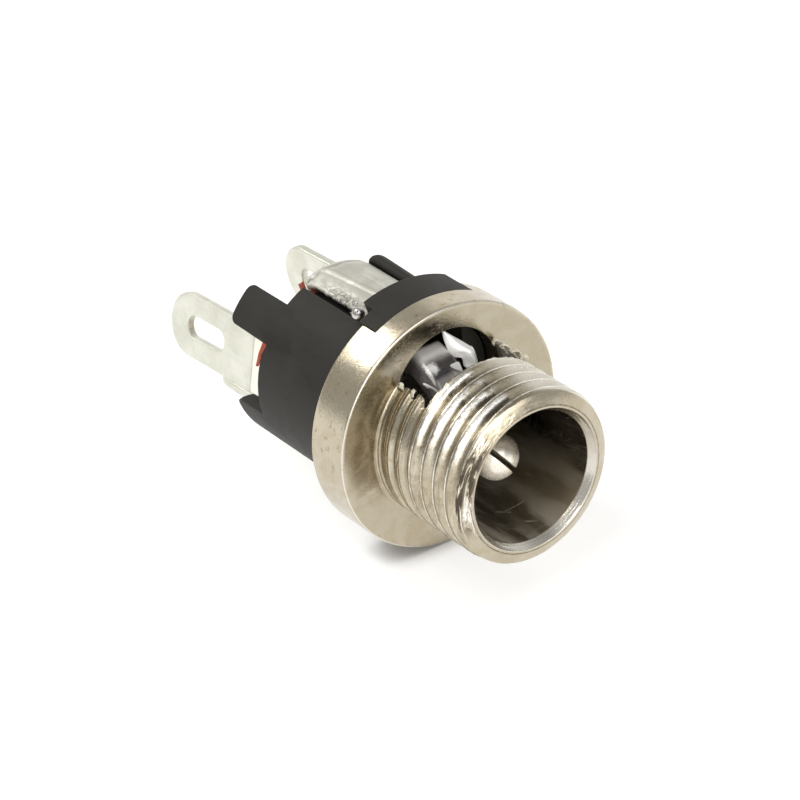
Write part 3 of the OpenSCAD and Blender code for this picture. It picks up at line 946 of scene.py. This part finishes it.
def build_housing():
    n = 192
    prof = [(0, 2.2), (H_R - 0.05, 2.2), (H_R, 2.25), (H_R, 10.7), (0, 10.7)]
    ob = revolve("housing_block", prof, n)
    sp = revolve("sp", [(0, 1.35), (3.60, 1.35), (3.67, 1.42), (3.67, 2.3), (0, 2.3)], 96)
    boolean(ob, sp, "UNION")
    key = [(0, 0)] + [(5.7 * math.sin(rad(a)), 5.7 * math.cos(rad(a))) for a in lin(-26.4, 26.4, 40)]
    boolean(ob, prism("key", key, 1.28, 3.18), "UNION")
    notch = [(r * math.sin(rad(a)), r * math.cos(rad(a))) for r, a in
             ((4.56, -30), (4.56, -24), (4.56, -18), (6.3, -18), (6.3, -24), (6.3, -30))]
    boolean(ob, prism("cut", notch, 2.45, 3.6))
    tong = [((WIN_R - 0.06) * math.cos(2 * pi * i / 72), WIN_Z + (WIN_R - 0.06) * math.sin(2 * pi * i / 72))
            for i in range(72)]
    boolean(ob, prism("tongue", tong, 0.9, 2.5), "UNION")
    boolean(ob, ring_cut([(-47.5, 12.2, 10.5, 0.38), (-121.5, 18.0, 9.8, 0.42)], 3.6, 6.5, REAR, 11.5))
    boolean(ob, revolve("cut", [(0, REAR), (3.62, REAR), (3.62, 11.2), (0, 11.2)], 96))
    # room for the pin terminal's lug
    boolean(ob, turn(prism("cut", rect(-3.94, -0.94, -2.0, 1.54), REAR - 0.001, 12), 12))
    boolean(ob, turn(prism("cut", rect(-6.0, -3.5, -2.0, 1.30), REAR - 0.001, 12), 12))
    # plug cavity and pin bore
    boolean(ob, revolve("cut", [(0, -3), (3.0, -3), (3.0, 3.5), (0, 3.5)], 96))
    boolean(ob, revolve("cut", [(0, 3), (1.25, 3), (1.25, 9), (0, 9)], 48))
    # upper groove with the spring's sloping way
    boolean(ob, prism("cut", rect(-1.7, 1.8, FLOOR_Z, 6.7), 3.3, 11))
    way = [(4.6, 4.95), (3.02, 4.75), (2, 4.3), (0.8, 4.1), (0.8, 2.6), (2.3, 3.0), (3.3, FLOOR_Z), (4.6, FLOOR_Z)]
    boolean(ob, prism("cut", way, -1.6, 1.6, "x"))
    # lower groove
    boolean(ob, turn(prism("cut", rect(-1.7, 1.7, -5.9, -3.5), 1.2, 12), 12))
    finish_piece(ob, BLACK, ["housing"], 30, 0.004)
    # rail along the groove's far side, rounded at its rear end
    def rail(u, v):
        y = 3.3 + (7.72 - 3.3) * u
        endf = math.sqrt(max(0.0, 1 - max(0.0, (u - 0.90) / 0.10) ** 2))
        a = pi * v
        w, h = 0.36, 0.30 * (0.25 + 0.75 * endf)
        x = 2.14 - w * math.cos(a)
        z = math.sqrt(H_R ** 2 - 2.14 ** 2) - 0.10 + 0.10 + 0.18 * u - 0.35 * (x - 1.8) + (h + 0.10) * math.sin(a) ** 0.7
        return (x, y, z)
    rl = shell("housing_rail", rail, lin(0, 1, 60), lin(0.0, 1.0, 14), 0.04)
    finish_piece(rl, BLACK, [], 50)


build_housing()


# ---------------------------------------------------------------- centre pin
PIN_Y, SPLIT = -4.0, 52.0


def build_pin():
    r = 1.05
    prof = [(0, PIN_Y)]
    for i in range(1, 13):
        a = pi / 2 * i / 12
        prof.append((r * math.sin(a), PIN_Y + 0.80 * (1 - math.cos(a))))
    prof += [(r, y) for y in lin(PIN_Y + 0.9, 3.45, 12)]
    prof += [(r + 0.02, 3.5), (1.25, 3.5), (1.25, 7.8), (0.9, 7.8), (0.9, 8.6), (1.28, 8.6), (1.35, 8.66),
             (1.35, 8.78), (1.28, 8.85), (1.0, 8.88), (0.92, 8.98), (0.86, 9.03), (0.7, 9.05), (0, 9.05)]
    ob = revolve("pin_body", prof, 96)
    w = 0.15
    cut = prism("cut", rect(-2.2, 2.2, -w, w), -4.8, -0.9)
    cut.data.transform(Matrix.Rotation(rad(SPLIT), 4, "Y"))
    boolean(ob, cut)
    # the two halves stand open by a hair
    d = Vector((math.sin(rad(SPLIT)), 0, math.cos(rad(SPLIT))))
    for v in ob.data.vertices:
        if v.co.y < -0.9:
            s = 1 if v.co.dot(d) > 0 else -1
            v.co -= d * (0.03 * s * ((-0.9 - v.co.y) / 2.8) ** 1.5)
        if v.co.y < 3.4:
            v.co.z -= 0.12 * ((3.4 - v.co.y) / 7.4) ** 1.5
    return finish_piece(ob, PIN_NI, ["centre_pin"], 34, 0.002)


build_pin()


# ---------------------------------------------------------------- sheet terminals
def bend_map(u_bend, R, t, ang, fn_after=None):
    """Maps a flat blank (u, v, w) bent by ang at u_bend toward +w, with
    inner radius R. Before the bend it is flat."""
    L = (R + t / 2) * ang
    def go(u, v, w):
        if u <= u_bend:
            return u, v, w
        if u >= u_bend + L:
            a = ang
            e = u - u_bend - L
        else:
            a = (u - u_bend) / (R + t / 2)
            e = 0.0
        rr = R + t - w
        x = u_bend + rr * math.sin(a) + e * math.cos(a)
        z = (R + t) - rr * math.cos(a) + e * math.sin(a)
        return x, v, z
    return go, L


def build_pin_terminal():
    # flat blank: lug tip at -u, bend, base plate toward the pin
    t, w = 0.4, 3.0
    r = w / 2
    lug_len = 15.55 - 8.2           # from the base plate's front face to the tip
    R = 0.18
    # u = 0 at the tip, the bend starts where the lug's straight part ends
    ub = lug_len - (R + t)
    go, L = bend_map(ub, R, t, pi / 2)
    reach = 3.9 - (R + t)           # flat length after the bend, to the pin's axis
    end = ub + L + reach
    out = [(x, y) for x, y in
           arc(end, 0, 1.7, -100, 100, 24)] + \
          [(ub + L + 1.6, r)] + [(r, r)] + arc(r, 0, r, 90, 270, 26)[1:] + [(ub + L + 1.6, -r)]
    # wire slot 1.3 mm behind the tip
    sw, sl = 1.05, 2.85
    sa, sb = 1.3 + sw / 2, 1.3 + sl - sw / 2
    hole = arc(sa, 0, sw / 2, -90, -270, 14) + arc(sb, 0, sw / 2, 90, -90, 14)
    rivet = arc(end, 0, 0.92, 360, 0, 32)[:-1]
    ob = blank("pin_lug", out, [hole, rivet], t, 0.09, 4, 0.05)
    slice_u(ob, lin(ub, ub + L, 10))

    def place(u, v, w_):
        # w_ = 0 is the outer (left) face
        x, v2, z = go(u, v, w_)
        # x runs from the tip toward the base, z from the lug's outer face inward
        Y = 15.55 - x
        X = -3.9 + z
        Z = v2 - 0.26 * smooth(Y, 8.4, 18.0) * 1.6
        return (X, Y, Z)
    remap(ob, place)
    # die roll, small shear nicks along the upper edge and a faint sag
    for v in ob.data.vertices:
        p = v.co * 3.0
        k = 0.010 * noise.noise(p) + 0.006 * noise.noise(p * 2.9)
        v.co.x += k
        if v.co.z > 1.40:
            for yc, dp in ((12.35, 0.09), (13.9, 0.05)):
                v.co.z -= dp * math.exp(-((v.co.y - yc) / 0.10) ** 2)
    turn(ob, 12)
    outward(ob)
    return finish_piece(ob, TIN_FOLD, ["pin_terminal"], 40, 0.001)


build_pin_terminal()


def build_barrel_terminal():
    t, w = 0.4, 3.0
    r = w / 2
    tip = 15.55
    sw, sl = 1.05, 2.85
    out = [(2.2, -r)] + arc(tip - r, 0, r, -90, 90, 26) + [(2.2, r)]
    sa, sb = tip - 1.3 - sl + sw / 2, tip - 1.3 - sw / 2
    hole = arc(sb, 0, sw / 2, 90, -90, 14) + arc(sa, 0, sw / 2, -90, -270, 14)
    ob = blank("barrel_lug", out, [hole], t, 0.07, 4)
    slice_u(ob, lin(2.6, 15.0, 40))

    def place(u, v, w_):
        k = 0.012 * noise.noise(Vector((u * 1.3, v * 2, w_)))
        return (-v, u, -3.9 + w_ + k + 0.10 * smooth(u, 7.9, 11.5))
    remap(ob, place)
    turn(ob, 12)
    outward(ob)
    return finish_piece(ob, TIN, ["barrel_terminal"], 40, 0.001)


build_barrel_terminal()


# ---------------------------------------------------------------- contact spring
def strip_z(x):
    """Height of the strip's middle surface over x."""
    R = 3.3
    return 4.66 - 0.14 - R + math.sqrt(R * R - x * x)


def build_strip():
    """Arched strip in the upper groove: creased, dented along its near edge
    and folded down at the rear."""
    t = 0.27

    def mid(u, v):
        # u: 0 at the front, 1 at the rear; v: -1 near side, 1 far side
        y = 3.4 + (8.05 - 3.4) * u
        x = 0.11 + 1.39 * v
        z = strip_z(x)
        # press marks: two creases that run askew
        c1 = math.exp(-((x + 0.22 + 0.42 * (u - 0.45)) / 0.09) ** 2)
        c2 = math.exp(-((x - 0.60) / 0.10) ** 2) * smooth(u, 0.10, 0.22) * (1 - smooth(u, 0.60, 0.72))
        z += 0.075 * c1 * smooth(u, 0.02, 0.15) + 0.055 * c2
        z -= 0.045 * math.exp(-((x - 0.16) / 0.20) ** 2)
        # burr and dents on the near edge
        e = smooth(-v, 0.45, 0.95)
        p = Vector((x * 2.6, y * 2.6, 3.0))
        k = smooth(u, 0.08, 0.3) * (1 - 0.6 * smooth(u, 0.7, 0.9))
        z += e * k * (0.05 * noise.noise(p * 1.1) + 0.025 * noise.noise(p * 3.7) + 0.02 * noise.noise(p * 7.0) - 0.02)
        x -= e * k * 0.05 * noise.noise(p * 2.2)
        # rear near corner turned over
        z -= 0.16 * smooth(u, 0.86, 1.0) ** 2 + 0.12 * smooth(-v, 0.5, 1.0) * smooth(u, 0.8, 1.0)
        # front near corner dives under the key
        z -= 0.10 * smooth(-v, 0.6, 1.0) * (1 - smooth(u, 0.02, 0.14))
        return (x, y, z)
    ob = shell("contact_strip", mid, lin(0, 1, 110), lin(-1, 1, 70), t)
    finish_piece(ob, SPRING, ["contact_spring"], 50)

    # curled ear at the near edge, pressed up behind the key
    def ear(u, v):
        a, b = pi * u, 2 * pi * v
        q = (0.25 + 0.07 * smooth(u, 0.3, 0.8)) * math.sin(a) ** 0.6 + 0.004
        c = Vector((-1.55, 3.75, 4.36)).lerp(Vector((-1.95, 3.38, 4.94)), u)
        c += Vector((-0.05, 0.0, 0.04)) * math.sin(a)
        e1 = Vector((0.55, -0.75, 0.0)).normalized()
        e2 = Vector((0.60, 0.42, 0.68)).normalized()
        return c + e1 * (q * math.cos(b)) + e2 * (q * math.sin(b))
    er = shell("contact_ear", ear, lin(0.01, 0.99, 22), lin(0.0, 0.995, 28), 0.03)
    return finish_piece(er, CHROME, [], 50)


build_strip()


def build_spring_fold():
    """Rear fold of the strip and the lug that hangs from it."""
    t = 0.34
    # fold: from the strip's rear edge down over the washer
    def fold(u, v):
        # v across (-1 near .. 1 far), u round the bend and down
        rb = 0.34
        x = -0.98 + (2.50 + 0.98) * (v + 1) / 2
        crest = strip_z(min(x, 1.5)) - 0.14
        if x > 1.5:
            crest -= 0.75 * (x - 1.5)
        a = min(u, 1.0) * pi / 2
        y = 8.02 + rb * math.sin(a)
        z = crest - rb * (1 - math.cos(a))
        if u > 1:
            z -= (u - 1) * 1.0
        return (x, y, z)
    ob = shell("contact_fold", fold, lin(0, 1, 10) + lin(1, 1.9, 8)[1:], lin(-1, 1, 36), t)
    finish_piece(ob, SPRING, [], 50)
    # lug
    w, r = 3.0, 1.5
    sw, sl = 1.05, 2.85
    tip = 15.3 - 8.2
    u0 = -0.15
    out = [(u0, -r)] + arc(tip - r, 0, r, -90, 90, 26) + [(u0, r)]
    sa, sb = tip - 1.3 - sl + sw / 2, tip - 1.3 - sw / 2
    hole = arc(sb, 0, sw / 2, 90, -90, 14) + arc(sa, 0, sw / 2, -90, -270, 14)
    lug = blank("contact_lug", out, [hole], 0.4, 0.08, 4)
    slice_u(lug, lin(0.1, 6.5, 24))

    def place(u, v, w_):
        # root flares up into the fold
        z = v
        f = 1 - smooth(u, -0.1, 1.4)
        if v > 0:
            z += 0.55 * f * (v / r) ** 2
        z += 0.0
        dp = 0.0
        if v > 1.42:
            dp = 0.10 * math.exp(-((u - 5.05) / 0.09) ** 2)
        k = 0.010 * noise.noise(Vector((u * 1.5, v * 2, 5)))
        X = 2.25 + w_ + k
        a = rad(-2.5)
        Y = u * math.cos(a) - (z - dp) * math.sin(a)
        Z = u * math.sin(a) + (z - dp) * math.cos(a)
        return (X, 8.2 + Y, 0.9 + Z)
    remap(lug, place)
    outward(lug)
    finish_piece(lug, TIN, [], 40, 0.001)


build_spring_fold()


def spline(points, u):
    """Catmull-Rom through points, u from 0 to 1."""
    n = len(points) - 1
    q = min(max(u, 0.0) * n, n - 1e-6)
    i = int(q)
    f = q - i
    P = [points[max(i - 1, 0)], points[i], points[i + 1], points[min(i + 2, n)]]
    out = []
    for k in range(len(points[0])):
        a, b, c, d = (p[k] for p in P)
        out.append(0.5 * (2 * b + (c - a) * f + (2 * a - 5 * b + 4 * c - d) * f * f
                          + (3 * b - a - 3 * c + d) * f ** 3))
    return out


def build_spring_front():
    """The sprung end seen in the window: a bright rolled blade, its near
    edge curled down, its far edge turned up, and a small stop between."""
    line = [(4.8, 4.36), (3.7, 4.32), (3.0, 4.16), (2.2, 3.92), (1.3, 3.82), (0.5, 3.74), (-0.2, 3.50),
            (-0.8, 3.10), (-1.30, 2.62), (-1.70, 2.30), (-1.98, 2.25)]

    def mid(u, v):
        y, z = spline(line, u)
        f = smooth(u, 0.28, 0.48)
        x = -1.38 - 0.20 * f + (2.76 - 0.55 * f) * v
        # near side rolls down, far side stays level
        d = max(0.0, -x - 1.02) / 0.56
        z -= f * 0.62 * d ** 2.0
        z += (1 - f) * (strip_z(x) - strip_z(0.0) - 0.03)
        z -= f * 1.5 * max(0.0, x - 0.12)
        # small dimple where the plug bears
        z += 0.05 * f * math.exp(-((x + 0.35) / 0.16) ** 2 - ((y + 0.85) / 0.16) ** 2)
        return (x, y, z)
    ob = shell("contact_blade", mid, lin(0, 1, 120), lin(0, 1, 60), 0.16)
    finish_piece(ob, SPRING_PAINTED_BANDS, [], 50)

    # far edge, sheared to a point and turned up to face the mouth
    left = [(0.17, 0.29, 4.45), (0.14, 0.18, 4.14), (0.18, 0.00, 3.71), (0.30, -0.17, 3.39), (0.61, -0.34, 3.26),
            (0.61, -0.46, 2.94), (0.75, -0.57, 2.80)]
    right = [(0.20, 0.27, 4.43), (0.47, 0.07, 4.18), (0.66, -0.06, 4.00), (0.83, -0.19, 3.84), (1.00, -0.32, 3.66),
             (1.16, -0.45, 3.49), (1.17, -0.68, 2.92)]
    nrm = Vector((-0.33, -0.88, 0.34))

    def wing(u, v):
        a, b = Vector(spline(left, u)), Vector(spline(right, u))
        p = a.lerp(b, v)
        return p + nrm * (0.05 * math.sin(pi * v) - 0.10 * smooth(v, 0.75, 1.0) * smooth(u, 0.1, 0.3))
    ob = shell("contact_wing", wing, lin(0, 1, 60), lin(0, 1, 20), 0.10)
    finish_piece(ob, SATIN, [], 50)

    # tab behind the plug's bearing point, curled like a hook
    def stop(u, v):
        base = Vector((-0.22, -0.42, 3.38))
        e1, e2 = Vector((0.85, -0.30, -0.20)).normalized(), Vector((0.10, -0.45, -0.60)).normalized()
        w_ = 0.50 - 0.14 * v
        p = base + e1 * (w_ * u) + e2 * (0.55 * v)
        p += Vector((-0.30, -0.70, 0.34)) * (0.16 * math.sin(pi * min(1.0, v * 0.9)) + 0.05 * u)
        return p
    ob = shell("contact_stop", stop, lin(0, 1, 22), lin(0, 1, 22), 0.10)
    finish_piece(ob, SATIN, [], 50)

    # eye rolled at the blade's tip
    c0 = Vector((-1.44, -0.90, 2.82))
    f1, f2 = Vector((0.52, -0.62, -0.50)).normalized(), Vector((0.42, 0.30, -0.85)).normalized()

    def eye(u, v):
        a, b = 2 * pi * u, 2 * pi * v
        q = f1 * (0.40 * math.cos(a)) + f2 * (0.13 * math.sin(a))
        m = q.normalized()
        return c0 + q + m * (0.045 * math.cos(b)) + f1.cross(f2).normalized() * (0.05 * math.sin(b))
    verts, faces = [], []
    nu, nv = 64, 14
    for i in range(nu):
        for j in range(nv):
            verts.append(eye(i / nu, j / nv))
    for i in range(nu):
        for j in range(nv):
            a, b = (i + 1) % nu, (j + 1) % nv
            faces.append([i * nv + j, a * nv + j, a * nv + b, i * nv + b])
    ob = raw("contact_eye", verts, faces)
    outward(ob)
    return finish_piece(ob, SATIN, [], 60)


build_spring_front()


# ---------------------------------------------------------------- washer
def build_washer():
    """Fibre washer with a slightly frayed rim."""
    out = []
    for i in range(180):
        a = 2 * pi * i / 180
        g = (math.degrees(a) + 180) % 360 - 180
        w = 4.02 + 0.26 * (1 - smooth(abs(g + 21.5), 1.5, 3.5))
        out.append([w * math.sin(a), w * math.cos(a)])
    ob = prism("washer_disc", out, REAR, 8.2)
    boolean(ob, prism("cut", [(math.cos(2 * pi * i / 48), math.sin(2 * pi * i / 48)) for i in range(48)], 7, 9))
    boolean(ob, prism("cut", rect(-1.7, 1.8, FLOOR_Z - 0.1, 6), 7, 9))
    boolean(ob, prism("cut", rot2(rect(-3, 3, -5.9, -3.4), 12), 7, 9))
    for mid in (-47.5, -119):
        seg = [(3.5 * math.sin(rad(a)), 3.5 * math.cos(rad(a))) for a in lin(mid - 13.5, mid + 13.5, 14)] + \
              [(6.5 * math.sin(rad(a)), 6.5 * math.cos(rad(a))) for a in lin(mid + 13.5, mid - 13.5, 14)]
        boolean(ob, prism("cut", seg, 7, 9))
    for v in ob.data.vertices:
        d = math.hypot(v.co.x, v.co.z)
        if d > 3.6:
            k = 0.02 * noise.noise(v.co * 4.0)
            v.co.x += k * v.co.x / d
            v.co.z += k * v.co.z / d
    finish_piece(ob, FIBRE, ["fibre_washer"], 30, 0.001)

    # tab of the washer, folded over the block's rear edge
    def tab(u, v):
        g = rad(-73.5 + 13.5 * u)
        rr = 4.53 + 0.05 * math.sin(pi * v) - 0.10 * smooth(v, 0.75, 1.0)
        yy = 8.02 - (0.12 + 0.16 * u + 0.03 * math.sin(9 * u)) * (1 - v)
        return (rr * math.sin(g), yy, rr * math.cos(g))
    tb = shell("washer_tab", tab, lin(0, 1, 24), lin(0, 1, 10), 0.06)
    finish_piece(tb, FIBRE, [], 50)

    # corner of the washer that stands out beside the strip's fold
    def corner(u, v):
        x = -1.72 + 0.26 * v + 0.10 * u
        return (x, 7.98 + 0.30 * u - 0.05 * math.sin(5 * v), 4.02 + 0.14 * u - 0.12 * (v - 0.5) ** 2)
    cn = shell("washer_corner", corner, lin(0, 1, 14), lin(0, 1, 12), 0.07)
    finish_piece(cn, FIBRE, [], 50)


build_washer()


# ---------------------------------------------------------------- stage and light
FLOOR_Y = -5.72


def build_floor():
    verts, faces = [], []
    s, n = 1500.0, 24
    for j in range(n + 1):
        for i in range(n + 1):
            verts.append((-s + 2 * s * i / n, -s + 2 * s * j / n, FLOOR_Y))
    for j in range(n):
        for i in range(n):
            a = j * (n + 1) + i
            faces.append([a, a + 1, a + n + 2, a + n + 1])
    ob = raw("floor", verts, faces)
    ob.data.transform(Matrix.Scale(0.001, 4))
    k = Mat("floor_pale")
    f = k.noise(k.mm, 0.02, 2.0)
    c = k.mix(f, (0.56, 0.56, 0.56, 1), (0.60, 0.60, 0.60, 1))
    # painted contact shadow: the AO node darkens the floor's colour and glow near the object
    ao = k.t.nodes.new("ShaderNodeAmbientOcclusion")
    ao.samples = 8
    ao.inputs["Distance"].default_value = 0.0013
    near = k.ramp(ao.outputs["AO"], 0.25, 0.95)
    k.set("Base Color", k.mix(near, (0.36, 0.35, 0.34, 1), c))
    k.set("Roughness", 0.9)
    k.set("Specular IOR Level", 0.1)
    k.set("Emission Color", k.mix(near, (0.17, 0.165, 0.16, 1), (1, 1, 1, 1)))
    k.set("Emission Strength", 0.62)
    ob.data.materials.append(k.m)


build_floor()


def area(name, loc, size, power, target=(0, 2, 0), color=(1, 0.985, 0.95), size_y=None):
    d = bpy.data.lights.new(name, "AREA")
    d.shape = "RECTANGLE"
    d.size = size * 0.001
    d.size_y = (size_y or size) * 0.001
    d.energy = power
    d.color = color
    o = bpy.data.objects.new(name, d)
    scene.collection.objects.link(o)
    p = Vector(loc) * 0.001
    t = Vector(target) * 0.001
    o.location = p
    o.rotation_euler = (t - p).to_track_quat("-Z", "Y").to_euler()
    return o


def build_world():
    """Soft studio: a pale dome, brighter at the horizon in front, dimmer
    high up at the right."""
    world = bpy.data.worlds.new("studio")
    scene.world = world
    world.use_nodes = True
    t = world.node_tree
    bg = t.nodes["Background"]
    tc = t.nodes.new("ShaderNodeTexCoord")

    def lobe(d, wide, narrow):
        v = Vector(d).normalized()
        n = t.nodes.new("ShaderNodeVectorMath")
        n.operation = "DOT_PRODUCT"
        t.links.new(tc.outputs["Generated"], n.inputs[0])
        n.inputs[1].default_value = v
        m = t.nodes.new("ShaderNodeMapRange")
        m.interpolation_type = "SMOOTHSTEP"
        t.links.new(n.outputs["Value"], m.inputs["Value"])
        m.inputs["From Min"].default_value = math.cos(rad(wide))
        m.inputs["From Max"].default_value = math.cos(rad(narrow))
        return m.outputs[0]

    total = None
    for d, wide, narrow, gain in LOBES:
        n = t.nodes.new("ShaderNodeMath")
        n.operation = "MULTIPLY"
        t.links.new(lobe(d, wide, narrow), n.inputs[0])
        n.inputs[1].default_value = gain
        if total is None:
            a = t.nodes.new("ShaderNodeMath")
            a.operation = "ADD"
            t.links.new(n.outputs[0], a.inputs[0])
            a.inputs[1].default_value = DOME
        else:
            a = t.nodes.new("ShaderNodeMath")
            a.operation = "ADD"
            t.links.new(n.outputs[0], a.inputs[0])
            t.links.new(total, a.inputs[1])
        total = a.outputs[0]
    # what the lens sees straight on is the same pale tone as the floor
    lp = t.nodes.new("ShaderNodeLightPath")
    pick = t.nodes.new("ShaderNodeMix")
    t.links.new(lp.outputs["Is Camera Ray"], pick.inputs[0])
    t.links.new(total, pick.inputs[2])
    pick.inputs[3].default_value = 1.0
    t.links.new(pick.outputs[0], bg.inputs["Strength"])
    bg.inputs["Color"].default_value = (1.0, 0.99, 0.97, 1)


DOME = 0.50
LOBES = [((-0.14, -0.97, 0.12), 28, 12, 3.0),
         ((0.27, -0.89, 0.34), 15, 6, 2.0),
         ((0.68, 0.70, 0.21), 30, 10, 0.5),
         ((0.45, -0.35, 0.82), 32, 14, -0.22),
         ((0.85, 0.10, 0.35), 50, 20, 0.15)]
build_world()
area("rear_left_soft", Vector((-0.255, 0.705, 0.665)) * 250, 96, 0.15, size_y=96)
area("upper_left_soft", Vector((-0.50, -0.16, 0.85)) * 250, 130, 0.16, size_y=130)
